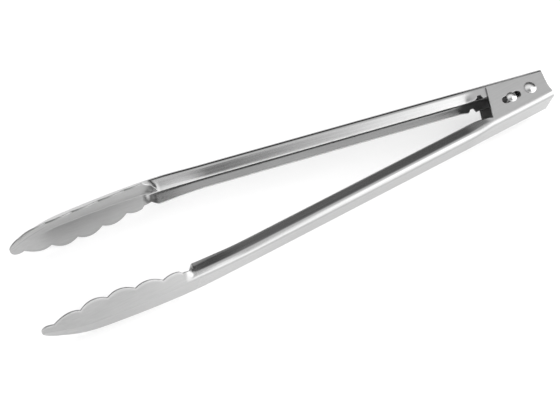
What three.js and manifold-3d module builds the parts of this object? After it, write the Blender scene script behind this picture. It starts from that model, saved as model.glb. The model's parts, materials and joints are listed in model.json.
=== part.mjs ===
// Spring loaded utility tongs, about 12 inches long, in stainless steel sheet.
// Two stamped channel arms turn on a rivet. The outer arm's cheeks form a flat box round the
// inner arm. A bent leaf spring holds the arms open and a headed pin slides in the box's slots.
// Units are millimetres, +Z is up and runs along the pivot, -X runs from the pivot to the tips.
import * as THREE from 'three';
import { mergeVertices } from 'three/addons/utils/BufferGeometryUtils.js';
import Module from 'manifold-3d';

const wasm = await Module();
wasm.setup();

// Whole tool
const deg = Math.PI / 180;
const tipReach = 294.8; // pivot to blade tip, along an arm
const openAngle = 10.95 * deg; // between the two arms at rest
const closingAngle = 8.8 * deg; // how far the inner arm turns until the tips meet
const sheet = 0.9; // thickness of both stampings
const gap = 0.3; // clearance between pieces that touch

// Channel of the grips
const boxHalfHeight = 9.6; // middle plane to the outer arm's outside
const outerBack = 10.1; // pivot to the outer arm's back, at the box
const outerGripBack = 10.65; // the same at its grip, which is as narrow as the inner arm's
const innerBack = 10.4; // pivot to the inner arm's back
const bendRadius = 2.7; // outside radius of the folds
const outerGripDepth = 8.65; // back to the free edge of the flanges
const innerGripDepth = 8.1;
const outerTilt = 110 * deg; // fold angle of the outer arm's flanges along the grip
const innerTilt = 107 * deg; // fold angle of the inner arm's flanges along the grip
const foldSteps = 5;

// Box at the pivot end
const outerRear = 10.2; // pivot to the outer arm's rear end
const innerRear = 11.2; // pivot to the inner arm's rear end
const mouthReach = 26; // pivot to the box's front edge, on the middle line
const mouthSlant = 16.4 * deg; // the front edge leans by this
const mouthFillet = 1; // foot of the front edge
const outerRelief = 4.4; // back to the free edge where grip and cheek part
const outerReliefEnd = 29.6;
const outerFlangeFull = 46;
const innerRelief = 6;
const innerReliefStart = 28.4;
const innerReliefEnd = 30.3;
const innerFlangeFull = 33;
const reliefPower = 2.5; // how steeply the free edge leaves its relief
const outerTiltFull = 34; // the flanges have their full tilt from here
const innerTiltFull = 38;
const gripSectionFull = 46; // the outer arm has the inner arm's height from here
const toothDrop = 0.4; // how far the tooth at the mouth stands past the cheek's free edge
const toothLength = 1.8;
const toothSlope = 0.8; // how far the tooth's front leans over its relief
const earRadius = 5.6; // inner cheek round the pivot

// Rivet, pin and slot
const rivetRadius = 2;
const rivetHeadRadius = 3.55;
const rivetHeadHeight = 1;
const pinRadius = 1.8;
const pinHeadRadius = 2.95;
const pinHeadHeight = 0.9;
const headRim = 0.25; // straight rim under a domed head
const slotCentre = 12.8; // pivot to the slot's middle
const slotTravel = 3.9; // pin's way from the middle to each end
const pinHeadroom = 0.8; // pin to the inner cheek's free edge, with the tips together
const roundSteps = 32;

// Blades, whose features lie at these distances from the tip
const bladeBack = 10.8; // pivot to the line from which both blades curl in
const curlStart = tipReach - 114.8; // the backs are straight up to here
const curlRadius = 675;
const tipCurlStart = tipReach - 28.8;
const tipCurlRadius = 85;
const flangeEnd = tipReach - 80.5; // free corner of the grip's flanges
const flangeFoot = tipReach - 77.2; // where their end meets the blade
const flareStart = tipReach - 108.8; // the flanges begin to open out here
const outerFlangeEndAngle = 112 * deg;
const innerFlangeEndAngle = 100 * deg;
const flangeFootAngle = 60 * deg;
const flangeEndDrop = 0.6; // the free corner lies this much further from the back
const flangeFootDepth = 4.8;
const wingStart = tipReach - 73.3; // the blade's wings have their full angle from here
const wingWidthStart = tipReach - 71.8; // and their full width from here
const wingAngle = 29.5 * deg;
const tipWingAngle = 14 * deg;
const wingFlattenStart = tipReach - 24.8;
const creaseHalfStart = 6.9; // half the flat strip between the creases, at the wings' start
const creaseHalfEnd = 5;
const creaseEnd = tipReach - 19.8; // the creases run out here
const bladeHalfWidth = 18.4; // middle line to the widest part, notches left out of account
const widestReach = tipReach - 38.8;
const bladeTaper = 3.6; // the blade is this much narrower at its wings' start
const taperPower = 1.5;
const lobePitch = 14.1;
const lobeCount = 5; // full lobes, behind the rounded tip
const lobeRise = 2.35; // arc of a lobe over the line between its notches
const lobeShare = 2 / 3; // part of the rise that lies inside the blade's mean outline
const lobeSteps = 6;
const tipLobe = 6.7; // last notch to the tip
const tipBlunt = 0.06; // share of the tip lobe that is left flat at the tip

// Leaf spring
const springSheet = 0.5;
const springHalfWidth = 5.5;
const springLoop = 3.2; // loop's middle radius, round the rivet
const springReach = 33; // pivot to the legs' ends
const springFoot = 7; // length of a leg that lies along its arm's back
const loopSteps = 20;
const legSteps = 8;

const halfOpen = openAngle / 2;
const innerHalfHeight = boxHalfHeight - sheet - gap;
const lastNotch = tipReach - tipLobe;

const outerArmShape = {
  side: 1,
  back: outerBack,
  gripBack: outerGripBack,
  gripDepth: outerGripDepth,
  halfHeight: boxHalfHeight,
  tilt: outerTilt,
  tiltFull: outerTiltFull,
  flangeEndAngle: outerFlangeEndAngle,
  rear: outerRear,
  relief: outerRelief,
  reliefEnd: outerReliefEnd,
  flangeFull: outerFlangeFull,
};
const innerArmShape = {
  side: -1,
  back: innerBack,
  gripBack: innerBack,
  gripDepth: innerGripDepth,
  halfHeight: innerHalfHeight,
  tilt: innerTilt,
  tiltFull: innerTiltFull,
  flangeEndAngle: innerFlangeEndAngle,
  rear: innerRear,
  relief: innerRelief,
  reliefEnd: innerReliefEnd,
  flangeFull: innerFlangeFull,
};

function blend(from, to, start, end, x) {
  return from + (to - from) * THREE.MathUtils.smoothstep(x, start, end);
}

function ramp(from, to, start, end, x) {
  return THREE.MathUtils.lerp(from, to, THREE.MathUtils.clamp((x - start) / (end - start), 0, 1));
}

// Distance from the pivot line to an arm's back at a reach along the arm.
function backAt(arm, reach) {
  const curl = Math.max(0, reach - curlStart);
  const tipCurl = Math.max(0, reach - tipCurlStart);
  const grip = blend(arm.back, arm.gripBack, arm.reliefEnd, gripSectionFull, reach);
  const straight = blend(grip, bladeBack, flareStart, flangeFoot, reach);
  return straight - (curl * curl) / (2 * curlRadius) - (tipCurl * tipCurl) / (2 * tipCurlRadius);
}

// Middle plane to the outside of an arm's flanges: both grips have the inner arm's height.
function halfHeightAt(arm, reach) {
  return blend(arm.halfHeight, innerHalfHeight, arm.reliefEnd, gripSectionFull, reach);
}

// Half the flat strip in the middle of the section.
function flatAt(arm, reach) {
  const grip = halfHeightAt(arm, reach) - bendRadius;
  if (reach < wingStart) return blend(grip, creaseHalfStart, flareStart, wingStart, reach);
  if (reach < creaseEnd) return ramp(creaseHalfStart, creaseHalfEnd, wingStart, creaseEnd, reach);
  return creaseHalfEnd * noseShare(reach);
}

// The section narrows with the nose past the creases' ends.
function noseShare(reach) {
  return reach > creaseEnd ? meanHalfWidth(reach) / meanHalfWidth(creaseEnd) : 1;
}

// Fold angle of the flange or wing, 0 being flat with the back.
function foldAt(arm, reach) {
  if (reach <= flareStart) return blend(Math.PI / 2, arm.tilt, arm.reliefEnd, arm.tiltFull, reach);
  const endAngle = arm.flangeEndAngle;
  if (reach <= flangeEnd) return blend(arm.tilt, endAngle, flareStart, flangeEnd, reach);
  if (reach <= flangeFoot) return ramp(endAngle, flangeFootAngle, flangeEnd, flangeFoot, reach);
  if (reach <= wingStart) return ramp(flangeFootAngle, wingAngle, flangeFoot, wingStart, reach);
  return blend(wingAngle, tipWingAngle, wingFlattenStart, tipReach, reach);
}

// Half width of the blade over its notches: a straight taper, then an elliptical nose.
function meanHalfWidth(reach) {
  if (reach > widestReach) {
    const along = (reach - widestReach) / (tipReach - widestReach);
    return bladeHalfWidth * Math.sqrt(Math.max(0, 1 - along * along));
  }
  const back = (widestReach - reach) / (widestReach - wingStart);
  return bladeHalfWidth - bladeTaper * back ** taperPower;
}

function notchHalfWidth(reach) {
  return meanHalfWidth(reach) - lobeRise * lobeShare;
}

// Half width with the scallops, each a shallow arc between two notches.
function bladeHalfAt(reach) {
  if (reach > lastNotch) {
    const along = (reach - lastNotch) / tipLobe;
    return notchHalfWidth(lastNotch) * Math.sqrt(Math.max(0, 1 - along * along));
  }
  const along = ((((reach - lastNotch) / lobePitch) % 1) + 1) % 1;
  return notchHalfWidth(reach) + lobeRise * 4 * along * (1 - along);
}

// How far the free edge lies from the back, along the grip. It swings out steeply, then evenly.
function gripDepthAt(arm, reach) {
  const full = arm.gripDepth;
  const end = full + flangeEndDrop;
  if (reach > flangeEnd) return ramp(end, flangeFootDepth, flangeEnd, flangeFoot, reach);
  if (reach > arm.flangeFull) return blend(full, end, flareStart, flangeEnd, reach);
  const left = ramp(1, 0, arm.reliefEnd, arm.flangeFull, reach);
  return full - (full - arm.relief) * left ** reliefPower;
}

// Length of the flat flange past the fold.
function gripFlangeAt(arm, reach) {
  const fold = foldAt(arm, reach);
  return (gripDepthAt(arm, reach) - bendRadius * (1 - Math.cos(fold))) / Math.sin(fold);
}

// Length of the flat wing past the fold.
function wingAt(arm, reach) {
  const fold = foldAt(arm, reach);
  const foldEdge = flatAt(arm, reach) + bendRadius * noseShare(reach) * Math.sin(fold);
  return (bladeHalfAt(reach) - foldEdge) / Math.cos(fold);
}

function flangeAt(arm, reach) {
  if (reach <= flangeFoot) return gripFlangeAt(arm, reach);
  return ramp(gripFlangeAt(arm, flangeFoot), wingAt(arm, reach), flangeFoot, wingWidthStart, reach);
}

// Half of a section, from the middle line out, at a depth below the outside face.
function halfSection(arm, reach, depth) {
  const fold = foldAt(arm, reach);
  const flat = flatAt(arm, reach);
  const centre = backAt(arm, reach) - bendRadius;
  const radius = bendRadius - depth;
  const points = [new THREE.Vector2(0, centre + radius)];
  for (let step = 0; step <= foldSteps; step++) {
    const turn = (fold * step) / foldSteps;
    const out = flat + radius * noseShare(reach) * Math.sin(turn);
    points.push(new THREE.Vector2(out, centre + radius * Math.cos(turn)));
  }
  const last = points[points.length - 1];
  const length = flangeAt(arm, reach);
  points.push(new THREE.Vector2(last.x + length * Math.cos(fold), last.y - length * Math.sin(fold)));
  return points;
}

// Closed section: outside face from one edge to the other, then the inside face back.
function sectionRing(arm, reach) {
  const outside = halfSection(arm, reach, 0);
  const inside = halfSection(arm, reach, sheet);
  const whole = (half) => [...half.slice(1).reverse().map((p) => new THREE.Vector2(-p.x, p.y)), ...half];
  const ring = [...whole(outside), ...whole(inside).reverse()];
  return ring.map((p) => new THREE.Vector3(reach, arm.side * p.y, p.x));
}

// Closed skin through rings of the same number of points, with flat ends.
function loft(rings, flipped) {
  const count = rings[0].length;
  const positions = rings.flat().flatMap((p) => [p.x, p.y, p.z]);
  const faces = [];
  for (let row = 0; row + 1 < rings.length; row++) {
    for (let k = 0; k < count; k++) {
      const next = (k + 1) % count;
      const a = row * count + k;
      const b = row * count + next;
      faces.push([a, b, b + count], [a, b + count, a + count]);
    }
  }
  const half = count / 2;
  const lastRow = (rings.length - 1) * count;
  for (let k = 0; k + 1 < half; k++) {
    const a = k;
    const b = k + 1;
    const c = count - 2 - k;
    const d = count - 1 - k;
    faces.push([a, c, b], [a, d, c]);
    faces.push([lastRow + a, lastRow + b, lastRow + c], [lastRow + a, lastRow + c, lastRow + d]);
  }
  const geometry = new THREE.BufferGeometry();
  geometry.setAttribute('position', new THREE.Float32BufferAttribute(positions, 3));
  geometry.setIndex(faces.flatMap((f) => (flipped ? [f[0], f[2], f[1]] : f)));
  return geometry;
}

function toSolid(geometry) {
  const bare = geometry.clone();
  bare.deleteAttribute('normal');
  bare.deleteAttribute('uv');
  const merged = mergeVertices(bare);
  const mesh = new wasm.Mesh({
    numProp: 3,
    vertProperties: Float32Array.from(merged.attributes.position.array),
    triVerts: Uint32Array.from(merged.index.array),
  });
  return new wasm.Manifold(mesh);
}

function toGeometry(solid) {
  const mesh = solid.getMesh();
  const geometry = new THREE.BufferGeometry();
  geometry.setAttribute('position', new THREE.Float32BufferAttribute(mesh.vertProperties, 3));
  geometry.setIndex(Array.from(mesh.triVerts));
  return geometry;
}

function joined(parts) {
  return parts.reduce((sum, part) => sum.add(part));
}

// Reaches at which an arm's section is drawn.
function armStations(arm) {
  const stations = [-arm.rear, arm.reliefEnd - 1, arm.reliefEnd];
  const even = (from, to, steps) => {
    for (let k = 1; k <= steps; k++) stations.push(from + ((to - from) * k) / steps);
  };
  even(arm.reliefEnd, gripSectionFull, 7);
  even(gripSectionFull, flareStart, 1);
  even(flareStart, flangeEnd, 7);
  even(flangeEnd, flangeFoot, 2);
  even(flangeFoot, wingStart, 4);
  const firstNotch = lastNotch - (lobeCount - 1) * lobePitch;
  even(wingStart, wingWidthStart, 1);
  even(wingWidthStart, firstNotch, 4);
  for (let lobe = 1; lobe < lobeCount; lobe++) {
    even(firstNotch + (lobe - 1) * lobePitch, firstNotch + lobe * lobePitch, lobeSteps);
  }
  for (let k = 1; k <= lobeSteps; k++) {
    stations.push(lastNotch + tipLobe * Math.sin(((1 - tipBlunt) * (Math.PI / 2) * k) / lobeSteps));
  }
  return stations;
}

function channel(arm) {
  const rings = armStations(arm).map((reach) => sectionRing(arm, reach));
  return loft(rings, arm.side < 0);
}

// A plate of sheet drawn in plan, on both sides of the middle plane.
function cheekPair(outline, outside) {
  const plate = new THREE.ExtrudeGeometry(outline, { depth: sheet, bevelEnabled: false, curveSegments: 6 });
  const upper = plate.clone().translate(0, 0, outside - sheet);
  const lower = plate.clone().translate(0, 0, -outside);
  return [toSolid(upper), toSolid(lower)];
}

// Plan position of a point given along and across an arm, in the pivot's frame.
function planPoint(arm, reach, across) {
  const point = new THREE.Vector2(-reach, -arm.side * across);
  return point.rotateAround(new THREE.Vector2(), arm.side * halfOpen);
}

function holeAt(point, radius) {
  const hole = new THREE.Path();
  hole.absarc(point.x, point.y, radius, 0, Math.PI * 2, true);
  return hole;
}

function lineCross(a, towardA, b, towardB) {
  const across = towardA.x * towardB.y - towardA.y * towardB.x;
  const along = ((b.x - a.x) * towardB.y - (b.y - a.y) * towardB.x) / across;
  return new THREE.Vector2(a.x + towardA.x * along, a.y + towardA.y * along);
}

// The slot runs along the outer arm, in line with the pivot.
function slotHole() {
  const radius = pinRadius + gap;
  const front = planPoint(outerArmShape, slotCentre + slotTravel, 0);
  const rear = planPoint(outerArmShape, slotCentre - slotTravel, 0);
  const across = halfOpen + Math.PI / 2;
  const slot = new THREE.Path();
  slot.absarc(front.x, front.y, radius, across, across + Math.PI, false);
  slot.absarc(rear.x, rear.y, radius, across - Math.PI, across, false);
  slot.closePath();
  return slot;
}

// The box's side: it reaches from the outer arm's fold to the inner arm's fold.
function outerCheekOutline() {
  const foldLine = outerBack - bendRadius;
  const rearFold = planPoint(outerArmShape, -outerRear, foldLine);
  const kink = planPoint(outerArmShape, -outerRear, 0);
  const farStart = planPoint(innerArmShape, 0, innerBack - bendRadius);
  const farHeading = planPoint(innerArmShape, 1, 0);
  const rearHeading = planPoint(innerArmShape, 0, 1);
  const mouthHeading = new THREE.Vector2(Math.sin(mouthSlant), Math.cos(mouthSlant));
  const mouthPoint = new THREE.Vector2(-mouthReach, 0);
  const farRear = lineCross(kink, rearHeading, farStart, farHeading);
  const farFront = lineCross(mouthPoint, mouthHeading, farStart, farHeading);
  const reliefLine = outerBack - outerRelief;
  const footStart = planPoint(outerArmShape, 0, reliefLine);
  const footHeading = planPoint(outerArmShape, 1, 0);
  const foot = lineCross(mouthPoint, mouthHeading, footStart, footHeading);
  const footBefore = foot.clone().addScaledVector(mouthHeading, mouthFillet);
  const footAfter = foot.clone().addScaledVector(footHeading, mouthFillet);
  const foldEnd = planPoint(outerArmShape, -planReach(footAfter), foldLine);
  const outline = new THREE.Shape();
  outline.moveTo(rearFold.x, rearFold.y);
  outline.lineTo(kink.x, kink.y);
  outline.lineTo(farRear.x, farRear.y);
  outline.lineTo(farFront.x, farFront.y);
  outline.lineTo(footBefore.x, footBefore.y);
  outline.quadraticCurveTo(foot.x, foot.y, footAfter.x, footAfter.y);
  outline.lineTo(foldEnd.x, foldEnd.y);
  outline.closePath();
  outline.holes.push(holeAt(new THREE.Vector2(), rivetRadius + gap), slotHole());
  return outline;
}

// Reach of a plan point along the outer arm, negative towards the tips.
function planReach(point) {
  return point.x * Math.cos(halfOpen) + point.y * Math.sin(halfOpen);
}

// The inner cheek's free edge passes over the pin, at the slot's rear end, when the tips meet.
const closedAngle = openAngle - closingAngle;
const pinRear = slotCentre - slotTravel;
const cheekEdge = pinRadius + pinHeadroom - pinRear * Math.sin(closedAngle);

// The inner arm's cheek: its free edge stays clear of the pin, an ear goes round the rivet, and
// its tail meets the outer arm's fold when the tongs are open.
function innerCheekOutline() {
  const foldLine = innerBack - bendRadius;
  const reliefLine = innerBack - innerRelief;
  const toothEnd = innerReliefStart - toothSlope;
  const earStart = Math.asin(cheekEdge / earRadius);
  const stopLine = outerBack - bendRadius;
  const tail = stopLine / Math.cos(openAngle) - innerRear * Math.tan(openAngle);
  const outline = new THREE.Shape();
  const at = (reach, across) => [reach, -across];
  outline.moveTo(...at(-innerRear, foldLine));
  outline.lineTo(...at(innerReliefEnd, foldLine));
  outline.lineTo(...at(innerReliefEnd, reliefLine));
  outline.lineTo(...at(innerReliefStart, reliefLine));
  outline.lineTo(...at(toothEnd, cheekEdge - toothDrop));
  outline.lineTo(...at(toothEnd - toothLength, cheekEdge));
  outline.lineTo(...at(earRadius * Math.cos(earStart), cheekEdge));
  outline.absarc(0, 0, earRadius, -earStart, Math.PI / 2, false);
  outline.lineTo(...at(-innerRear, -tail));
  outline.closePath();
  outline.holes.push(holeAt(new THREE.Vector2(), rivetRadius + gap));
  return outline;
}

function outerArmGeometry() {
  const strip = toSolid(channel(outerArmShape).rotateZ(Math.PI + halfOpen));
  return toGeometry(joined([strip, ...cheekPair(outerCheekOutline(), boxHalfHeight)]));
}

function innerArmGeometry() {
  const strip = toSolid(channel(innerArmShape));
  return toGeometry(joined([strip, ...cheekPair(innerCheekOutline(), innerHalfHeight)]));
}

// A shank with a domed head at each end, turned round the Z axis.
function headedPinGeometry(shankRadius, headRadius, headHeight) {
  const seat = boxHalfHeight + gap;
  const rim = seat + headRim;
  const dome = headHeight - headRim;
  const domeRadius = (headRadius * headRadius + dome * dome) / (2 * dome);
  const domeAngle = Math.asin(headRadius / domeRadius);
  const arcSteps = 6;
  const upper = [new THREE.Vector2(shankRadius, seat), new THREE.Vector2(headRadius, seat)];
  for (let step = 0; step < arcSteps; step++) {
    const turn = domeAngle * (1 - step / arcSteps);
    const height = rim + dome - domeRadius * (1 - Math.cos(turn));
    upper.push(new THREE.Vector2(domeRadius * Math.sin(turn), height));
  }
  upper.push(new THREE.Vector2(0, rim + dome));
  const lower = upper.map((p) => new THREE.Vector2(p.x, -p.y)).reverse();
  return new THREE.LatheGeometry([...lower, ...upper], roundSteps);
}

// One leg of the spring, from the loop to its foot on an arm's back.
function springLeg(arm) {
  const clear = arm.back - sheet - gap - springSheet / 2;
  const footStart = planPoint(arm, springReach - springFoot, clear);
  const footEnd = planPoint(arm, springReach, clear);
  const footBack = planPoint(arm, springReach - 2 * springFoot, clear);
  const leave = planPoint(arm, 0, springLoop);
  const leaveAhead = planPoint(arm, springFoot, springLoop);
  const curve = new THREE.CubicBezierCurve(leave, leaveAhead, footBack, footStart);
  return [...curve.getPoints(legSteps), footEnd];
}

function springPath() {
  const outerLeg = springLeg(outerArmShape);
  const innerLeg = springLeg(innerArmShape);
  const loop = [];
  const start = Math.atan2(outerLeg[0].y, outerLeg[0].x);
  const sweep = Math.atan2(innerLeg[0].y, innerLeg[0].x) - start;
  for (let step = 1; step < loopSteps; step++) {
    const turn = start + (sweep * step) / loopSteps;
    loop.push(new THREE.Vector2(springLoop * Math.cos(turn), springLoop * Math.sin(turn)));
  }
  return [...outerLeg.reverse(), ...loop, ...innerLeg];
}

function springGeometry() {
  const path = springPath();
  const rings = path.map((point, k) => {
    const before = path[Math.max(0, k - 1)];
    const after = path[Math.min(path.length - 1, k + 1)];
    const along = after.clone().sub(before).normalize();
    const side = new THREE.Vector2(-along.y, along.x).multiplyScalar(springSheet / 2);
    const a = point.clone().add(side);
    const b = point.clone().sub(side);
    return [
      new THREE.Vector3(a.x, a.y, -springHalfWidth),
      new THREE.Vector3(a.x, a.y, springHalfWidth),
      new THREE.Vector3(b.x, b.y, springHalfWidth),
      new THREE.Vector3(b.x, b.y, -springHalfWidth),
    ];
  });
  return loft(rings, false);
}

function steel(colour, roughness) {
  return new THREE.MeshStandardMaterial({ color: colour, roughness, metalness: 1 });
}

function piece(name, geometry, material) {
  const mesh = new THREE.Mesh(geometry, material);
  mesh.name = name;
  return mesh;
}

const gripSteel = steel(0xc9cbcc, 0.3);
const rivetSteel = steel(0xdcdddd, 0.18);
const springSteel = steel(0x9c9ea0, 0.35);

const outerArm = piece('outer_arm', outerArmGeometry(), gripSteel);
const innerArm = piece('inner_arm', innerArmGeometry(), gripSteel.clone());
const pivotRivet = piece(
  'pivot_rivet',
  headedPinGeometry(rivetRadius, rivetHeadRadius, rivetHeadHeight).rotateX(Math.PI / 2),
  rivetSteel,
);
const lockPin = piece(
  'lock_pin',
  headedPinGeometry(pinRadius, pinHeadRadius, pinHeadHeight).rotateX(Math.PI / 2),
  rivetSteel.clone(),
);
const leafSpring = piece('leaf_spring', springGeometry(), springSteel);

innerArm.rotation.z = Math.PI - halfOpen;
const pinRest = planPoint(outerArmShape, slotCentre, 0);
lockPin.position.set(pinRest.x, pinRest.y, 0);

const head = new THREE.Group();
head.add(outerArm, innerArm, pivotRivet, lockPin, leafSpring);

// The origin lies under the middle of the tongs, on the plane that they stand on.
const tongs = new THREE.Group();
tongs.add(head);
const extent = new THREE.Box3().setFromObject(tongs, true);
const middle = extent.getCenter(new THREE.Vector3());
head.position.set(-middle.x, -middle.y, -extent.min.z);

export default tongs;
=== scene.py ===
import json
import math

import bmesh
import bpy
from mathutils import Matrix, Vector
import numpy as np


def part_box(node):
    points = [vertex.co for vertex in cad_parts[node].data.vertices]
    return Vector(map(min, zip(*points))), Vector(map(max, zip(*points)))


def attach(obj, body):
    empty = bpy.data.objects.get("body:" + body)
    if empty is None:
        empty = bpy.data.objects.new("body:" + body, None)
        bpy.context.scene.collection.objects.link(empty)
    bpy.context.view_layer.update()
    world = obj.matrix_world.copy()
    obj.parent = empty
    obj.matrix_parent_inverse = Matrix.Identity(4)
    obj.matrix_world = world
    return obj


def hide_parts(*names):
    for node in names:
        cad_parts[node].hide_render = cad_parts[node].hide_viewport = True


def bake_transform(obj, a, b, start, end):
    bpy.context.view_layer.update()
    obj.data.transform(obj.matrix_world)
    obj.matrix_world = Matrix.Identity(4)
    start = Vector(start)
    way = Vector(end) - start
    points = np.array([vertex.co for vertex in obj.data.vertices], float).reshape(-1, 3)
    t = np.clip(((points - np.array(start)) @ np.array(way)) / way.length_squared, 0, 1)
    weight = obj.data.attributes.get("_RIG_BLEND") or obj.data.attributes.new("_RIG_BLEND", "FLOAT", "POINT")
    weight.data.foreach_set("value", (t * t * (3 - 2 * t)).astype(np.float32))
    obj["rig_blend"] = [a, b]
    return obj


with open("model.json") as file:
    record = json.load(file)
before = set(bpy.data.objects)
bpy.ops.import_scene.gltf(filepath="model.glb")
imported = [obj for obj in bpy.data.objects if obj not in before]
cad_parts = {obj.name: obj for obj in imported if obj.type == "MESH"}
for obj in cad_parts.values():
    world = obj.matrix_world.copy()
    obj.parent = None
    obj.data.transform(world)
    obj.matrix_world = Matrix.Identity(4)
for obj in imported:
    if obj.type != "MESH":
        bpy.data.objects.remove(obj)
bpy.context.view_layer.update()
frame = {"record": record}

mm = 0.001
joints = {joint["name"]: joint for joint in frame["record"]["behaviour"]["joints"]}
pivot = Vector(joints["arm_hinge"]["pos_m"])


def smooth(x, start, end):
    t = min(1.0, max(0.0, (x - start) / (end - start)))
    return t * t * (3 - 2 * t)


def ease(a, b, start, end, x):
    return a + (b - a) * smooth(x, start, end)


def ramp(a, b, start, end, x):
    return a + (b - a) * min(1.0, max(0.0, (x - start) / (end - start)))


camera = {
    "place": (-288.95, -194.31, 521.08),  # from the rivet's middle, in mm
    "azimuth": 35.313,
    "elevation": 66.213,
    "roll": 11.393,
    "lens": 69.24,
    "sensor": 36,
    "nearest": 0.01,
}


def addCamera():
    azimuth, elevation, roll = (math.radians(camera[key]) for key in ("azimuth", "elevation", "roll"))
    ahead = Vector(
        (
            math.sin(azimuth) * math.cos(elevation),
            math.cos(azimuth) * math.cos(elevation),
            -math.sin(elevation),
        )
    )
    level = Vector((math.cos(azimuth), -math.sin(azimuth), 0))
    lift = level.cross(ahead)
    right = level * math.cos(roll) + lift * math.sin(roll)
    up = lift * math.cos(roll) - level * math.sin(roll)
    data = bpy.data.cameras.new("camera")
    data.lens = camera["lens"]
    data.sensor_width = camera["sensor"]
    data.clip_start = camera["nearest"]
    obj = bpy.data.objects.new("camera", data)
    turn = Matrix((right, up, -ahead)).transposed().to_4x4()
    obj.matrix_world = Matrix.Translation(pivot + Vector(camera["place"]) * mm) @ turn
    bpy.context.collection.objects.link(obj)
    bpy.context.scene.camera = obj


addCamera()
print("camera placed")


class Wire:
    # a socket that can be used in an expression
    def __init__(self, sheet, socket):
        self.sheet = sheet
        self.socket = socket

    def math(self, operation, *others):
        return self.sheet.node("ShaderNodeMath", {"operation": operation}, dict(enumerate([self, *others])))

    def __add__(self, other):
        return self.math("ADD", other)

    def __sub__(self, other):
        return self.math("SUBTRACT", other)

    def __mul__(self, other):
        return self.math("MULTIPLY", other)

    def __radd__(self, other):
        return self.math("ADD", other)

    def __rmul__(self, other):
        return self.math("MULTIPLY", other)

    def __rsub__(self, other):
        return self.sheet.node("ShaderNodeMath", {"operation": "SUBTRACT"}, {0: other, 1: self})


class Sheet:
    # one material's or world's nodes
    def __init__(self, tree):
        self.tree = tree
        self.tree.nodes.clear()

    def node(self, kind, settings=None, inputs=None, output=0):
        made = self.tree.nodes.new(kind)
        for name, value in (settings or {}).items():
            setattr(made, name, value)
        for name, value in (inputs or {}).items():
            source = value.socket if isinstance(value, Wire) else value
            if isinstance(source, bpy.types.NodeSocket):
                self.tree.links.new(source, made.inputs[name])
            else:
                made.inputs[name].default_value = source
        return Wire(self, made.outputs[output]) if made.outputs else None

    def noise(self, place, scale, detail, rough):
        inputs = {"Vector": place, "Scale": scale, "Detail": detail, "Roughness": rough}
        return self.node("ShaderNodeTexNoise", {}, inputs)

    def stretch(self, place, scale, turn=0.0):
        inputs = {"Vector": place, "Rotation": (0, 0, turn), "Scale": scale}
        return self.node("ShaderNodeMapping", {"vector_type": "POINT"}, inputs)

    def span(self, value, low, high, newLow=0.0, newHigh=1.0):
        inputs = {"Value": value, "From Min": low, "From Max": high, "To Min": newLow, "To Max": newHigh}
        return self.node("ShaderNodeMapRange", {"clamp": True}, inputs)

    def soften(self, value, low, high):
        inputs = {"Value": value, "From Min": low, "From Max": high}
        return self.node("ShaderNodeMapRange", {"interpolation_type": "SMOOTHSTEP"}, inputs)

    def mixColour(self, factor, a, b):
        return self.node("ShaderNodeMix", {"data_type": "RGBA"}, {0: factor, 6: a, 7: b}, output=2)


studio = {
    "floorHalf": 4.0,
    "floorColour": (0.50, 0.50, 0.50),
    "floorRough": 0.9,
    "floorGlow": 0.485,  # keeps the shadows on the floor pale
    "floorLight": 20.5,  # watts, from a wide lamp that the steel doesn't mirror
    "lampSize": 2.2,
    "lampHeight": 1.4,
    # the room that the steel mirrors: a bright wall in front, a ceiling that is bright at the
    # right only, and a dark low wall behind
    "wall": 1.9,
    "wallFrom": 0.55,
    "wallTo": 0.85,
    "ceilingShade": 0.23,
    "ceilingBright": 2.5,
    "ceilingFrom": 0.12,
    "ceilingTo": 0.43,
    "backLow": 0.06,
    "backHigh": 0.98,
    "backFrom": 0.42,
    "backTo": 0.84,
    "turnFrom": -0.12,  # where the front gives way to the back
    "turnTo": 0.22,
}


def lightStudio():
    world = bpy.data.worlds.new("studio")
    bpy.context.scene.world = world
    world.use_nodes = True
    sheet = Sheet(world.node_tree)
    direction = sheet.node("ShaderNodeTexCoord", {}, {}, output=0)
    toRight, toBack, toTop = (
        sheet.node("ShaderNodeSeparateXYZ", {}, {0: direction}, output=k) for k in range(3)
    )
    bright = sheet.soften(toRight, studio["ceilingFrom"], studio["ceilingTo"])
    ceiling = bright * (studio["ceilingBright"] - studio["ceilingShade"]) + studio["ceilingShade"]
    facingFront = sheet.soften(0 - toBack, studio["wallFrom"], studio["wallTo"])
    front = ceiling * (1 - facingFront) + facingFront * studio["wall"]
    high = sheet.soften(toTop, studio["backFrom"], studio["backTo"])
    back = high * (studio["backHigh"] - studio["backLow"]) + studio["backLow"]
    facingBack = sheet.soften(toBack, studio["turnFrom"], studio["turnTo"])
    light = front * (1 - facingBack) + back * facingBack
    background = sheet.node("ShaderNodeBackground", {}, {"Color": (1, 1, 1, 1), "Strength": light})
    sheet.node("ShaderNodeOutputWorld", {}, {"Surface": background})
    data = bpy.data.lights.new("wideLamp", "AREA")
    data.energy = studio["floorLight"]
    data.size = studio["lampSize"]
    lamp = bpy.data.objects.new("wideLamp", data)
    lamp.location = (0, 0, studio["lampHeight"])
    lamp.visible_glossy = False
    bpy.context.collection.objects.link(lamp)


def layFloor():
    mesh = bpy.data.meshes.new("floor")
    build = bmesh.new()
    bmesh.ops.create_grid(build, x_segments=2, y_segments=2, size=studio["floorHalf"])
    build.to_mesh(mesh)
    build.free()
    floor = bpy.data.objects.new("floor", mesh)
    bpy.context.collection.objects.link(floor)
    material = bpy.data.materials.new("paleFloor")
    material.use_nodes = True
    sheet = Sheet(material.node_tree)
    paint = {
        "Base Color": (*studio["floorColour"], 1),
        "Roughness": studio["floorRough"],
        "Specular IOR Level": 0.0,
        "Emission Strength": studio["floorGlow"],
    }
    shader = sheet.node("ShaderNodeBsdfPrincipled", {}, paint)
    sheet.node("ShaderNodeOutputMaterial", {}, {"Surface": shader})
    mesh.materials.append(material)


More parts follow.
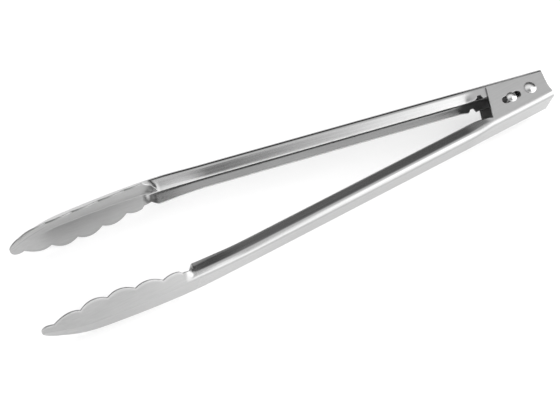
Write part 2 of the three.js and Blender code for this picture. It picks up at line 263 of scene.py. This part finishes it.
lightStudio()
layFloor()
bpy.context.scene.view_settings.view_transform = "Standard"
print("studio lit")


steels = {
    # polished folds and grips, satin flats at the box and on the blades
    "arm": {
        "colour": (0.48, 0.48, 0.48),
        # lighter colour for worn edges, also used for a painted highlight at the box
        "rubbedAndLit": (0.60, 0.60, 0.60),
        "grip": 0.17,
        "satin": 0.34,
        "brush": 0.05,
        "bump": 0.04,
        "shade": 0.6,  # how strongly the painted shade and painted highlight change the arm's colour
        # painted shade towards the outer blade's tip
        "bladePaintedShade": {"outer": 0.30, "inner": 0.0},
        # painted shade on the outer arm's back along the grip
        "webPaintedShade": 0.2,
        "edgePaintedLight": {"outer": -0.35, "inner": 0.3},  # painted highlight below zero, painted shade above zero
        # painted highlight along the flanges' cut edges
        "flangeEdgeHighlight": -0.5,
        "farFaceHighlight": -0.8,  # a painted highlight on the edges and folds that face away from the front, at the box
        "edgeRough": 0.26,
    },
    "rivet": {
        "colour": (0.80, 0.80, 0.80),
        "rubbedAndLit": (0.88, 0.88, 0.88),
        "grip": 0.24,
        "satin": 0.24,
        "brush": 0.04,
        "bump": 0.03,
        "shade": 0.0,
        "edgeRough": 0.2,
    },
    "spring": {
        "colour": (0.42, 0.42, 0.43),
        "rubbedAndLit": (0.60, 0.60, 0.61),
        "grip": 0.26,
        "satin": 0.32,
        "brush": 0.05,
        "bump": 0.04,
        "shade": 0.0,
        "edgeRough": 0.2,
    },
}
grain = {
    # scale, then detail and roughness
    "longLines": ((26, 900, 900), 4.0, 0.62),  # brushing, stretched along the arm
    "fineLines": ((90, 4200, 4200), 2.0, 0.5),
    "clouds": (38.0, 3.0, 0.55),
    "smudges": (120.0, 5.0, 0.6),
    "cloudShare": 0.5,
    "lineTone": (0.55, 0.95, 0.93, 1.03),
    "wearAndSheenSmudge": (0.35, 0.62),
    "wearAndSheenShare": 0.7,
    "longHeight": 0.6,
    "fineHeight": 0.4,
    "depth": 0.0004,
}


def makeSteel(name, look, turn):
    # turn lines the brushing up with the arm
    material = bpy.data.materials.new(name)
    material.use_nodes = True
    sheet = Sheet(material.node_tree)
    place = sheet.node("ShaderNodeTexCoord", {}, {}, output=3)
    along = sheet.stretch(place, (1, 1, 1), turn)

    def brushing(scale, detail, rough):
        return sheet.noise(sheet.stretch(along, scale), 1.0, detail, rough)

    longLines, fineLines = brushing(*grain["longLines"]), brushing(*grain["fineLines"])
    clouds, smudges = sheet.noise(place, *grain["clouds"]), sheet.noise(place, *grain["smudges"])
    satin, edge, paintedLight = (
        sheet.node("ShaderNodeAttribute", {"attribute_name": name}, {}, output=2)
        for name in ("satin", "edge", "paintedLight")
    )
    # wear along the cut edges, and at the box a painted highlight on far-facing edges and folds, both mixing
    # in the lighter rubbed colour
    wearAndSheen = edge * sheet.span(smudges, *grain["wearAndSheenSmudge"]) * grain["wearAndSheenShare"]
    base = sheet.mixColour(wearAndSheen, (*look["colour"], 1), (*look["rubbedAndLit"], 1))
    lines = sheet.span(longLines + clouds * grain["cloudShare"], *grain["lineTone"])
    # painted shade darkens and painted highlight lightens the grain's tone
    tone = lines * (1 - paintedLight * look["shade"])
    shade = sheet.node("ShaderNodeCombineColor", {}, {0: tone, 1: tone, 2: tone})
    settings = {"data_type": "RGBA", "blend_type": "MULTIPLY"}
    colour = sheet.node("ShaderNodeMix", settings, {0: 1.0, 6: base, 7: shade}, output=2)
    gloss = satin * (look["satin"] - look["grip"]) + look["grip"]
    brushed = (longLines - 0.5) * look["brush"] * 2 + (smudges - 0.5) * look["brush"]
    rough = gloss + brushed + edge * look["edgeRough"]
    height = longLines * grain["longHeight"] + fineLines * grain["fineHeight"]
    inputs = {"Height": height, "Strength": look["bump"], "Distance": grain["depth"]}
    bump = sheet.node("ShaderNodeBump", {}, inputs)
    inputs = {"Base Color": colour, "Metallic": 1.0, "Roughness": rough, "Normal": bump}
    shader = sheet.node("ShaderNodeBsdfPrincipled", {}, inputs)
    sheet.node("ShaderNodeOutputMaterial", {}, {"Surface": shader})
    return material


# sizes in mm; a reach is measured from the rivet along an arm, a back from the middle line outward
tip = 294.8
whole = {
    "openAngle": math.radians(10.95),
    "sheet": 0.9,
    "corner": 0.2,  # rounding of the sheet's cut edges
    "bendRadius": 2.7,
    "gripSectionFull": 46,
    "bladeBack": 10.798,
    "curlStart": tip - 114.8,
    "curlRadius": 675,
    "tipCurlStart": tip - 28.8,
    "tipCurlRadius": 85,
    "flareStart": tip - 108.8,
    "flangeEnd": tip - 80.5,
    "flangeFoot": tip - 77.2,
    "flangeEndDrop": 0.6,
    "flangeFootDepth": 4.8,
    "flangeFootAngle": math.radians(60),
    "wingStart": tip - 73.3,
    "wingWidthStart": tip - 71.8,
    "wingAngle": math.radians(29.5),
    "tipWingAngle": math.radians(14),
    "wingFlattenStart": tip - 24.8,
    "creaseHalfStart": 6.9,
    "creaseHalfEnd": 5,
    "creaseEnd": tip - 19.8,
    "bladeHalfWidth": 18.4,
    "widestReach": tip - 38.8,
    "bladeTaper": 3.6,
    "taperPower": 1.5,
    "lobePitch": 14.1,
    "lobeCount": 5,
    "lobeRise": 2.345,
    "lobeShare": 2 / 3,
    "tipLobe": 6.7,
    "reliefPower": 2.5,
    "holeRadius": 2.3,
    "earRadius": 5.6,
    "mouthReach": 26,
    "mouthSlant": math.radians(16.4),
    "mouthFillet": 1,
    "slotCentre": 12.8,
    "slotTravel": 3.9,
    "slotRadius": 2.1,
    "cheekEdge": 2.27,
    "toothDrop": 0.4,
    "toothLength": 1.8,
    "toothSlope": 0.8,
    "reliefStart": 28.4,
    "tail": 5.37,
}
arms = {
    "outer": {
        "side": 1,  # towards the front
        "back": 10.1,
        "gripBack": 10.65,
        "gripDepth": 8.65,
        "halfHeight": 9.6,
        "tilt": math.radians(110),
        "tiltFull": 34,
        "flangeEndAngle": math.radians(112),
        "rear": 10.2,
        "relief": 4.4,
        "reliefEnd": 29.6,
        "flangeFull": 46,
    },
    "inner": {
        "side": -1,  # away from the front
        "back": 10.4,
        "gripBack": 10.4,
        "gripDepth": 8.1,
        "halfHeight": 8.4,
        "tilt": math.radians(107),
        "tiltFull": 38,
        "flangeEndAngle": math.radians(100),
        "rear": 11.2,
        "relief": 6,
        "reliefEnd": 30.3,
        "flangeFull": 33,
    },
}
halfOpen = whole["openAngle"] / 2
lastNotch = tip - whole["tipLobe"]
proud = 0.002  # the cheek stands this much over the folds, so that the two solids join cleanly


def backAt(arm, reach):
    w = whole
    curl = max(0, reach - w["curlStart"])
    tipCurl = max(0, reach - w["tipCurlStart"])
    grip = ease(arm["back"], arm["gripBack"], arm["reliefEnd"], w["gripSectionFull"], reach)
    straight = ease(grip, w["bladeBack"], w["flareStart"], w["flangeFoot"], reach)
    return straight - curl * curl / (2 * w["curlRadius"]) - tipCurl * tipCurl / (2 * w["tipCurlRadius"])


def meanHalfWidth(reach):
    w = whole
    if reach > w["widestReach"]:
        along = (reach - w["widestReach"]) / (tip - w["widestReach"])
        return w["bladeHalfWidth"] * math.sqrt(max(0, 1 - along * along))
    back = (w["widestReach"] - reach) / (w["widestReach"] - w["wingStart"])
    return w["bladeHalfWidth"] - w["bladeTaper"] * back ** w["taperPower"]


def noseShare(reach):
    return meanHalfWidth(reach) / meanHalfWidth(whole["creaseEnd"]) if reach > whole["creaseEnd"] else 1.0


def notchHalfWidth(reach):
    return meanHalfWidth(reach) - whole["lobeRise"] * whole["lobeShare"]


def bladeHalfAt(reach):
    if reach > lastNotch:
        along = (reach - lastNotch) / whole["tipLobe"]
        return notchHalfWidth(lastNotch) * math.sqrt(max(0, 1 - along * along))
    along = ((reach - lastNotch) / whole["lobePitch"]) % 1
    return notchHalfWidth(reach) + whole["lobeRise"] * 4 * along * (1 - along)


def flatAt(arm, reach):
    w = whole
    drawnIn = arms["inner"]["halfHeight"]
    grip = ease(arm["halfHeight"], drawnIn, arm["reliefEnd"], w["gripSectionFull"], reach) - w["bendRadius"]
    if reach < w["wingStart"]:
        return ease(grip, w["creaseHalfStart"], w["flareStart"], w["wingStart"], reach)
    if reach < w["creaseEnd"]:
        return ramp(w["creaseHalfStart"], w["creaseHalfEnd"], w["wingStart"], w["creaseEnd"], reach)
    return w["creaseHalfEnd"] * noseShare(reach)


def foldAt(arm, reach):
    w = whole
    if reach <= w["flareStart"]:
        return ease(math.pi / 2, arm["tilt"], arm["reliefEnd"], arm["tiltFull"], reach)
    if reach <= w["flangeEnd"]:
        return ease(arm["tilt"], arm["flangeEndAngle"], w["flareStart"], w["flangeEnd"], reach)
    if reach <= w["flangeFoot"]:
        return ramp(arm["flangeEndAngle"], w["flangeFootAngle"], w["flangeEnd"], w["flangeFoot"], reach)
    if reach <= w["wingStart"]:
        return ramp(w["flangeFootAngle"], w["wingAngle"], w["flangeFoot"], w["wingStart"], reach)
    return ease(w["wingAngle"], w["tipWingAngle"], w["wingFlattenStart"], tip, reach)


def gripDepthAt(arm, reach):
    w = whole
    full = arm["gripDepth"]
    end = full + w["flangeEndDrop"]
    if reach > w["flangeEnd"]:
        return ramp(end, w["flangeFootDepth"], w["flangeEnd"], w["flangeFoot"], reach)
    if reach > arm["flangeFull"]:
        return ease(full, end, w["flareStart"], w["flangeEnd"], reach)
    left = ramp(1, 0, arm["reliefEnd"], arm["flangeFull"], reach)
    return full - (full - arm["relief"]) * left ** w["reliefPower"]


def gripFlangeAt(arm, reach):
    fold = foldAt(arm, reach)
    return (gripDepthAt(arm, reach) - whole["bendRadius"] * (1 - math.cos(fold))) / math.sin(fold)


def wingAt(arm, reach):
    fold = foldAt(arm, reach)
    foldEdge = flatAt(arm, reach) + whole["bendRadius"] * noseShare(reach) * math.sin(fold)
    return (bladeHalfAt(reach) - foldEdge) / math.cos(fold)


def flangeAt(arm, reach):
    w = whole
    if reach <= w["flangeFoot"]:
        return gripFlangeAt(arm, reach)
    foot = gripFlangeAt(arm, w["flangeFoot"])
    return ramp(foot, wingAt(arm, reach), w["flangeFoot"], w["wingWidthStart"], reach)


mesher = {
    "flatSteps": 5,
    "foldSteps": 12,
    "flangeSteps": 7,
    "cornerSteps": 3,
    "lobeSteps": 26,
    "noseSteps": 26,
    "noseShare": 0.925,  # the nose stops this far round, inside the real tip
    "filletSteps": 8,
    "slotSteps": 16,
    "holeSteps": 36,
    "earSteps": 24,
    "bevelSteps": 2,
    "weld": 2e-7,  # metres
}


def halfRing(arm, reach):
    # from the middle line out along the outside face, round the cut edge and back along the inside
    m, w = mesher, whole
    fold, flat = foldAt(arm, reach), flatAt(arm, reach)
    share = noseShare(reach)
    centre = backAt(arm, reach) - w["bendRadius"]
    length = flangeAt(arm, reach)
    corner = min(w["corner"], length / 3)
    runOut = Vector((math.cos(fold), -math.sin(fold)))  # along the flange, as across and outward
    out = Vector((math.sin(fold), math.cos(fold)))

    def face(radius):
        points = [Vector((flat * k / m["flatSteps"], centre + radius)) for k in range(m["flatSteps"])]
        for k in range(m["foldSteps"] + 1):
            turn = fold * k / m["foldSteps"]
            points.append(Vector((flat + radius * share * math.sin(turn), centre + radius * math.cos(turn))))
        root = points[-1]
        for k in range(1, m["flangeSteps"] + 1):
            points.append(root + runOut * ((length - corner) * k / m["flangeSteps"]))
        return points

    outside = face(w["bendRadius"])
    inside = face(w["bendRadius"] - w["sheet"])
    cut = []
    for k in range(1, m["cornerSteps"] + 1):
        turn = math.pi / 2 * k / m["cornerSteps"]
        cut.append(outside[-1] - out * corner * (1 - math.cos(turn)) + runOut * corner * math.sin(turn))
    for k in range(m["cornerSteps"]):
        turn = math.pi / 2 * k / m["cornerSteps"]
        cut.append(inside[-1] + out * corner * (1 - math.sin(turn)) + runOut * corner * math.cos(turn))
    return outside, cut, inside


def stations(arm):
    m, w = mesher, whole
    firstNotch = lastNotch - (w["lobeCount"] - 1) * w["lobePitch"]
    stretches = [
        (w["gripSectionFull"], 30),
        (w["curlStart"], 12),
        (w["flareStart"], 3),
        (w["flangeEnd"], 20),
        (w["flangeFoot"], 6),
        (w["wingStart"], 10),
        (w["wingWidthStart"], 4),
        (firstNotch, 16),
    ]
    for lobe in range(1, w["lobeCount"]):
        stretches.append((firstNotch + lobe * w["lobePitch"], m["lobeSteps"]))
    start = arm["reliefEnd"]
    found = [-arm["rear"], 0.0, start - 1, start]
    for end, steps in stretches:
        found.extend(start + (end - start) * k / steps for k in range(1, steps + 1))
        start = end
    for k in range(1, m["noseSteps"] + 1):
        turn = m["noseShare"] * math.pi / 2 * k / m["noseSteps"]
        found.append(lastNotch + w["tipLobe"] * math.sin(turn))
    return found


def place(arm, reach, across, height):
    # reach along and distance across an arm, and height, as a point in metres
    x = -reach * math.cos(halfOpen) + across * math.sin(halfOpen)
    y = arm["side"] * (-reach * math.sin(halfOpen) - across * math.cos(halfOpen))
    return pivot + Vector((x, y, height)) * mm


def meshObject(name, build, material):
    bmesh.ops.recalc_face_normals(build, faces=build.faces)
    mesh = bpy.data.meshes.new(name)
    build.to_mesh(mesh)
    build.free()
    for polygon in mesh.polygons:
        polygon.use_smooth = True
    obj = bpy.data.objects.new(name, mesh)
    bpy.context.collection.objects.link(obj)
    if material:
        mesh.materials.append(material)
    return obj


def stripMesh(name, arm):
    build = bmesh.new()
    rows = []
    for reach in stations(arm):
        outside, cut, inside = halfRing(arm, reach)
        right = outside + cut + inside[::-1]
        left = [Vector((-p.x, p.y)) for p in right[1:-1]]
        ring = right + left[::-1]
        rows.append([build.verts.new(place(arm, reach, p.y, p.x)) for p in ring])
    count = len(rows[0])
    for a, b in zip(rows, rows[1:]):
        for k in range(count):
            n = (k + 1) % count
            build.faces.new((a[k], a[n], b[n], b[k]))
    for row in (rows[0], rows[-1]):
        closeEnd(build, row)
    return meshObject(name, build, None)


def closeEnd(build, row):
    # quads between the outside and inside faces, from edge to edge
    m = mesher
    faceCount = m["flatSteps"] + m["foldSteps"] + 1 + m["flangeSteps"]
    cutCount = 2 * m["cornerSteps"]
    last = 2 * faceCount + cutCount - 1  # middle of the inside face
    count = len(row)
    right = [(k, last - k) for k in range(faceCount)]
    left = [(0, last)] + [(count - k, last + k) for k in range(1, faceCount)]
    for pairs in (right, left):
        for (a, b), (c, d) in zip(pairs, pairs[1:]):
            build.faces.new((row[a], row[c], row[d], row[b]))
    for start in (faceCount - 1, last + faceCount - 1):
        build.faces.new([row[k % count] for k in range(start, start + cutCount + 2)])


def arcPoints(cx, cy, radius, start, end, steps):
    turns = [start + (end - start) * k / steps for k in range(steps + 1)]
    return [(cx + radius * math.cos(t), cy + radius * math.sin(t)) for t in turns]


def plan(arm, reach, across):
    point = (place(arm, reach, across, 0) - pivot) / mm
    return (point.x, point.y)


def crossing(a, da, b, db):
    # where the line from a along da meets the line from b along db
    across = da[0] * db[1] - da[1] * db[0]
    t = ((b[0] - a[0]) * db[1] - (b[1] - a[1]) * db[0]) / across
    return (a[0] + da[0] * t, a[1] + da[1] * t)


def rivetHole():
    around = mesher["holeSteps"]
    return arcPoints(0, 0, whole["holeRadius"], 0, math.tau * (around - 1) / around, around - 1)


def outerCheek():
    m, w, outer, inner = mesher, whole, arms["outer"], arms["inner"]
    foldLine = outer["back"] - w["bendRadius"]
    kink = plan(outer, -outer["rear"], 0)
    farStart, farHeading = plan(inner, 0, inner["back"] - w["bendRadius"]), plan(inner, 1, 0)
    mouth = (-w["mouthReach"], 0)
    mouthHeading = (math.sin(w["mouthSlant"]), math.cos(w["mouthSlant"]))
    farRear = crossing(kink, plan(inner, 0, 1), farStart, farHeading)
    farFront = crossing(mouth, mouthHeading, farStart, farHeading)
    footHeading = plan(outer, 1, 0)
    foot = crossing(mouth, mouthHeading, plan(outer, 0, outer["back"] - outer["relief"]), footHeading)
    fillet = w["mouthFillet"]
    before = (foot[0] + mouthHeading[0] * fillet, foot[1] + mouthHeading[1] * fillet)
    after = (foot[0] + footHeading[0] * fillet, foot[1] + footHeading[1] * fillet)
    curve = []
    for k in range(m["filletSteps"] + 1):
        t = k / m["filletSteps"]
        corners = zip(before, foot, after)
        curve.append(tuple((1 - t) ** 2 * p + 2 * t * (1 - t) * q + t * t * r for p, q, r in corners))
    reachAfter = after[0] * math.cos(halfOpen) + after[1] * math.sin(halfOpen)
    outline = [plan(outer, -outer["rear"], foldLine), kink, farRear, farFront, *curve]
    outline.append(plan(outer, -reachAfter, foldLine))
    turn = halfOpen + math.pi / 2
    front = plan(outer, w["slotCentre"] + w["slotTravel"], 0)
    rear = plan(outer, w["slotCentre"] - w["slotTravel"], 0)
    slot = arcPoints(*front, w["slotRadius"], turn, turn + math.pi, m["slotSteps"])
    slot += arcPoints(*rear, w["slotRadius"], turn - math.pi, turn, m["slotSteps"])
    return outline, [rivetHole(), slot]


def innerCheek():
    w, inner = whole, arms["inner"]
    foldLine, reliefLine = inner["back"] - w["bendRadius"], inner["back"] - inner["relief"]
    toothEnd = w["reliefStart"] - w["toothSlope"]
    earStart = math.asin(w["cheekEdge"] / w["earRadius"])
    corners = [
        (-inner["rear"], foldLine),
        (inner["reliefEnd"], foldLine),
        (inner["reliefEnd"], reliefLine),
        (w["reliefStart"], reliefLine),
        (toothEnd, w["cheekEdge"] - w["toothDrop"]),
        (toothEnd - w["toothLength"], w["cheekEdge"]),
    ]
    corners += arcPoints(0, 0, w["earRadius"], earStart, -math.pi / 2, mesher["earSteps"])
    corners.append((-inner["rear"], -w["tail"]))
    return [plan(inner, reach, across) for reach, across in corners], [rivetHole()]


def cheekObject(name, outline, holes, height):
    # a flat plate with rounded cut edges, from a filled curve
    thickness, corner = whole["sheet"] + 2 * proud, whole["corner"]
    curve = bpy.data.curves.new(name, "CURVE")
    curve.dimensions = "2D"
    curve.fill_mode = "BOTH"
    curve.extrude = (thickness / 2 - corner) * mm
    curve.bevel_depth = corner * mm
    curve.bevel_resolution = mesher["bevelSteps"]
    curve.offset = -corner * mm
    for loop in (outline, *holes):
        spline = curve.splines.new("POLY")
        spline.points.add(len(loop) - 1)
        for point, (x, y) in zip(spline.points, loop):
            point.co = (x * mm, y * mm, 0, 1)
        spline.use_cyclic_u = True
    shape = bpy.data.objects.new(name, curve)
    bpy.context.collection.objects.link(shape)
    bpy.context.view_layer.update()
    mesh = bpy.data.meshes.new_from_object(shape.evaluated_get(bpy.context.evaluated_depsgraph_get()))
    bpy.data.objects.remove(shape)
    bpy.data.curves.remove(curve)
    mesh.transform(Matrix.Translation(pivot + Vector((0, 0, height * mm))))
    build = bmesh.new()
    build.from_mesh(mesh)
    bpy.data.meshes.remove(mesh)
    bmesh.ops.remove_doubles(build, verts=build.verts, dist=mesher["weld"])
    return meshObject(name, build, None)


def unite(obj, others):
    for other in others:
        step = obj.modifiers.new("join", "BOOLEAN")
        step.operation = "UNION"
        step.solver = "EXACT"
        step.object = other
    bpy.context.view_layer.update()
    mesh = bpy.data.meshes.new_from_object(obj.evaluated_get(bpy.context.evaluated_depsgraph_get()))
    obj.modifiers.clear()
    obj.data = mesh
    for other in others:
        bpy.data.objects.remove(other)


# where the finish and the painted shade and highlight change: reaches and depths in mm, facings as parts of
# a face's normal
bands = {
    "boxSatinEnd": (2, 14),  # past the end of the box
    "bladeSatin": (whole["flangeEnd"] - 12, whole["flangeFoot"] + 6),
    "bladePaintedShade": (whole["flangeFoot"], tip - 30),
    "bladeEdge": (whole["flangeEnd"], whole["wingStart"]),
    "boxFade": (16, 29),
    "gripPaintedShade": (28, 46),
    "backShadeEnd": (150, 200),
    "foldShadeEnd": (whole["flangeEnd"] - 6, whole["flangeFoot"]),
    "level": (0.85, 0.95),
    "turnedAway": (0.2, 0.5),
    "boxBack": (0.93, 0.99),
    "outerBack": (0.9, 0.98),
    "innerBack": (0.93, 0.995),
    "boxEdge": 0.15,
    "bladeCut": (1.6, 0.1),  # in from the blade's edge
    "flangeCut": (1.2, 0.1),  # in from the flange's edge
}


def markSteel(obj, body):
    # satin: 1 on the box cheeks and the blades, 0 on the grips; edge: 1 along the sheet's cut edges, for
    # wear, and at the box also on edges and folds that face away from the front, for a painted highlight;
    # the last attribute is painted light: painted shade above zero darkens the steel, painted highlight
    # below zero brightens it
    arm, made = arms[body], obj.data.attributes
    for name in ("satin", "edge", "paintedLight"):
        made.new(name, "FLOAT", "POINT")
    satin, edge, paintedLight = (made[name] for name in ("satin", "edge", "paintedLight"))
    for vertex in obj.data.vertices:
        point = (vertex.co - pivot) / mm
        reach = -point.x * math.cos(halfOpen) - arm["side"] * point.y * math.sin(halfOpen)
        box = 1 - smooth(reach - arm["reliefEnd"], *bands["boxSatinEnd"])
        level = smooth(abs(vertex.normal.z), *bands["level"])
        satin.data[vertex.index].value = max(box * level, smooth(reach, *bands["bladeSatin"]))
        cut = cutEdgeAndSheen(arm, reach, point, vertex.normal)
        edge.data[vertex.index].value = cut
        paintedLight.data[vertex.index].value = paintedLightAt(body, reach, vertex.normal, cut)


def farFace(arm, reach, normal):
    # edges and folds at the box that face away from the front, but not the inner arm's back; these get a
    # painted highlight
    back = smooth(normal.y, *bands["boxBack"]) if arm["side"] < 0 else 0
    return smooth(normal.y, *bands["turnedAway"]) * (1 - back) * (1 - smooth(reach, *bands["boxFade"]))


def paintedLightAt(body, reach, normal, edge):
    # painted shade on the far side of the inner arm's folds, the outer arm's back, the outer blade towards
    # its tip and the inner blade's edges;
    # painted highlight along the flanges' edges, the outer blade's edges and, at the box, the edges and
    # folds that face away from the front
    look = steels["arm"]
    # painted shade towards the outer blade's tip
    blade = look["bladePaintedShade"][body] * smooth(reach, *bands["bladePaintedShade"])
    if reach < arms[body]["reliefEnd"]:
        # at the box, a painted highlight on edges and folds that face away from the front
        return look["farFaceHighlight"] * farFace(arms[body], reach, normal)
    # painted highlight along the flanges' edges and the outer blade's edges, painted shade along the inner
    # blade's edges
    atBlade = smooth(reach, *bands["bladeEdge"])
    cut = edge * (look["edgePaintedLight"][body] * atBlade + look["flangeEdgeHighlight"] * (1 - atBlade))
    along = smooth(reach, *bands["gripPaintedShade"])
    if body == "outer":
        along *= 1 - smooth(reach, *bands["backShadeEnd"])
        # painted shade on the outer arm's back along the grip
        return blade + cut + look["webPaintedShade"] * along * smooth(-normal.y, *bands["outerBack"])
    along *= 1 - smooth(reach, *bands["foldShadeEnd"])
    # painted shade on the far side of the inner arm's outward folds
    outward = normal.x * math.sin(halfOpen) + normal.y * math.cos(halfOpen)
    fold = smooth(outward, *bands["turnedAway"]) * (1 - smooth(outward, *bands["innerBack"]))
    return blade + cut + along * fold


def cutEdgeAndSheen(arm, reach, point, normal):
    if reach < arm["reliefEnd"]:
        # at the box, a painted highlight in the rubbed colour on edges and folds that face away from the
        # front
        return bands["boxEdge"] + (1 - bands["boxEdge"]) * farFace(arm, reach, normal)
    if reach > whole["flangeFoot"] and point.z:
        start, end = bands["bladeCut"]
        half = bladeHalfAt(reach)
        return smooth(abs(point.z), half - start, half - end)
    start, end = bands["flangeCut"]
    across = arm["side"] * (-point.y * math.cos(halfOpen)) + point.x * math.sin(halfOpen)
    depth = arm["gripBack"] - across
    return smooth(depth, arm["gripDepth"] - start, arm["gripDepth"] - end)


def softenNormals(obj):
    # smooth faces, hard only where the sheet is cut square
    mesh = obj.data
    for polygon in mesh.polygons:
        polygon.use_smooth = True
    mesh.set_sharp_from_angle(angle=math.radians(50))
    step = obj.modifiers.new("evenNormals", "WEIGHTED_NORMAL")
    step.weight = 60
    step.keep_sharp = True


def buildArm(name, cad, body, cheek):
    arm = arms[body]
    strip = stripMesh(name, arm)
    outline, holes = cheek()
    middle = arm["halfHeight"] - whole["sheet"] / 2
    top = cheekObject(name + "Top", outline, holes, middle)
    under = cheekObject(name + "Under", outline, holes, -middle)
    unite(strip, (top, under))
    markSteel(strip, body)
    strip.data.materials.clear()
    strip.data.materials.append(makeSteel(name + "Steel", steels["arm"], arm["side"] * -halfOpen))
    softenNormals(strip)
    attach(strip, body)
    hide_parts(cad)
    print(name, "built with", len(strip.data.polygons), "faces")


buildArm("outerArm", "outer_arm", "outer", outerCheek)
buildArm("innerArm", "inner_arm", "inner", innerCheek)


headed = {
    "rivet": {"cad": "pivot_rivet", "body": "outer", "shank": 2.0, "rim": 0.18, "seat": 0.02},
    "pin": {"cad": "lock_pin", "body": "pin", "shank": 1.8, "rim": 0.18, "seat": 0.05},
    "neckFillet": 0.1,
    "domeSteps": 12,
    "around": 48,
    "wornFrom": 0.36,  # parts of the head's width
    "wornTo": 0.5,
}


def headedMesh(name, look, low, high):
    # a shank with a domed head at each end, turned from one profile
    centre = (low + high) / 2
    headRadius = (high.x - low.x) / 2 / mm
    top = (high.z - low.z) / 2 / mm
    seat = arms["outer"]["halfHeight"] + look["seat"]
    rim = seat + look["rim"]
    dome = top - rim
    domeRadius = (headRadius ** 2 + dome ** 2) / (2 * dome)
    full = math.asin(min(1.0, headRadius / domeRadius))
    neck, steps, around = headed["neckFillet"], headed["domeSteps"], headed["around"]
    upper = [
        (look["shank"], 0.0),
        (look["shank"], seat - neck),
        (look["shank"] + neck, seat),
        # the head's rounded edge
        (headRadius - 0.12, seat),
        (headRadius - 0.03, seat + 0.04),
        (headRadius, seat + 0.13),
        (headRadius, rim - 0.03),
        (headRadius - 0.04, rim),
    ]
    for k in range(1, steps):
        turn = full * (1 - k / steps)
        upper.append((domeRadius * math.sin(turn), rim + dome - domeRadius * (1 - math.cos(turn))))
    outline = [(r, -h) for r, h in upper[::-1]][:-1] + upper
    turns = [math.tau * k / around for k in range(around)]
    build = bmesh.new()
    rows = []
    for radius, height in outline:
        ring = [Vector((radius * math.cos(t), radius * math.sin(t), height)) for t in turns]
        rows.append([build.verts.new(centre + p * mm) for p in ring])
    for a, b in zip(rows, rows[1:]):
        for k in range(around):
            n = (k + 1) % around
            build.faces.new((a[k], a[n], b[n], b[k]))
    for row, height in ((rows[0], -top), (rows[-1], top)):
        apex = build.verts.new(centre + Vector((0, 0, height)) * mm)
        for k in range(around):
            build.faces.new((row[k], row[(k + 1) % around], apex))
    return meshObject(name, build, makeSteel(name + "Steel", steels["rivet"], 0.0))


def buildHeaded(name, kind):
    look = headed[kind]
    low, high = (Vector(corner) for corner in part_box(look["cad"]))
    obj = headedMesh(name, look, low, high)
    edge = obj.data.attributes.new("edge", "FLOAT", "POINT")
    centre, width = (low + high) / 2, high.x - low.x
    for vertex in obj.data.vertices:
        across = math.hypot(vertex.co.x - centre.x, vertex.co.y - centre.y) / width
        edge.data[vertex.index].value = smooth(across, headed["wornFrom"], headed["wornTo"])
    softenNormals(obj)
    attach(obj, look["body"])
    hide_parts(look["cad"])


buildHeaded("pivotRivet", "rivet")
buildHeaded("lockPin", "pin")
print("rivet and pin turned")


# a bent strip: a loop round the rivet and a leg along the back of each arm
spring = {
    "sheet": 0.5,
    "halfWidth": 5.5,
    "loop": 3.2,
    "reach": 33,
    "foot": 7,
    "gap": 0.3,
    "corner": 0.12,
    "legSteps": 28,
    "loopSteps": 36,
}


def springLeg(arm):
    # from the loop to the foot that lies along the arm's back
    clear = arm["back"] - whole["sheet"] - spring["gap"] - spring["sheet"] / 2
    knots = [(0, spring["loop"]), (spring["foot"], spring["loop"])]
    knots += [(spring["reach"] - 2 * spring["foot"], clear), (spring["reach"] - spring["foot"], clear)]
    points = []
    for k in range(spring["legSteps"] + 1):
        t = k / spring["legSteps"]
        weights = [(1 - t) ** 3, 3 * t * (1 - t) ** 2, 3 * t * t * (1 - t), t ** 3]
        reach = sum(weight * knot[0] for weight, knot in zip(weights, knots))
        across = sum(weight * knot[1] for weight, knot in zip(weights, knots))
        points.append(Vector(plan(arm, reach, across)))
    return points + [Vector(plan(arm, spring["reach"], clear))]


def springPath():
    outer, inner = springLeg(arms["outer"]), springLeg(arms["inner"])
    start, end = (math.atan2(leg[0].y, leg[0].x) for leg in (outer, inner))
    loop = []
    for k in range(1, spring["loopSteps"]):
        turn = start + (end - start) * k / spring["loopSteps"]
        loop.append(Vector((math.cos(turn), math.sin(turn))) * spring["loop"])
    return outer[::-1] + loop + inner


def buildSpring():
    path = springPath()
    half, wide, corner = spring["sheet"] / 2, spring["halfWidth"], spring["corner"]
    section = []
    for sx, sz, start in ((1, 1, 0), (-1, 1, 90), (-1, -1, 180), (1, -1, 270)):
        for turn in (0, 30, 60, 90):
            t = math.radians(start + turn)
            across = sx * (half - corner) + corner * math.cos(t)
            section.append((across, sz * (wide - corner) + corner * math.sin(t)))
    build = bmesh.new()
    rows = []
    for k, point in enumerate(path):
        ahead = (path[min(len(path) - 1, k + 1)] - path[max(0, k - 1)]).normalized()
        side = Vector((-ahead.y, ahead.x))
        ring = [(point + side * across, height) for across, height in section]
        rows.append([build.verts.new(pivot + Vector((p.x, p.y, height)) * mm) for p, height in ring])
    count = len(section)
    for a, b in zip(rows, rows[1:]):
        for k in range(count):
            n = (k + 1) % count
            build.faces.new((a[k], a[n], b[n], b[k]))
    build.faces.new(rows[0])
    build.faces.new(rows[-1])
    obj = meshObject("leafSpring", build, makeSteel("springSteel", steels["spring"], 0.0))
    softenNormals(obj)
    span = Vector((0, spring["loop"] * mm, 0))
    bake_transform(obj, "outer", "inner", start=tuple(pivot - span), end=tuple(pivot + span))
    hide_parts("leaf_spring")


buildSpring()
print("spring bent")
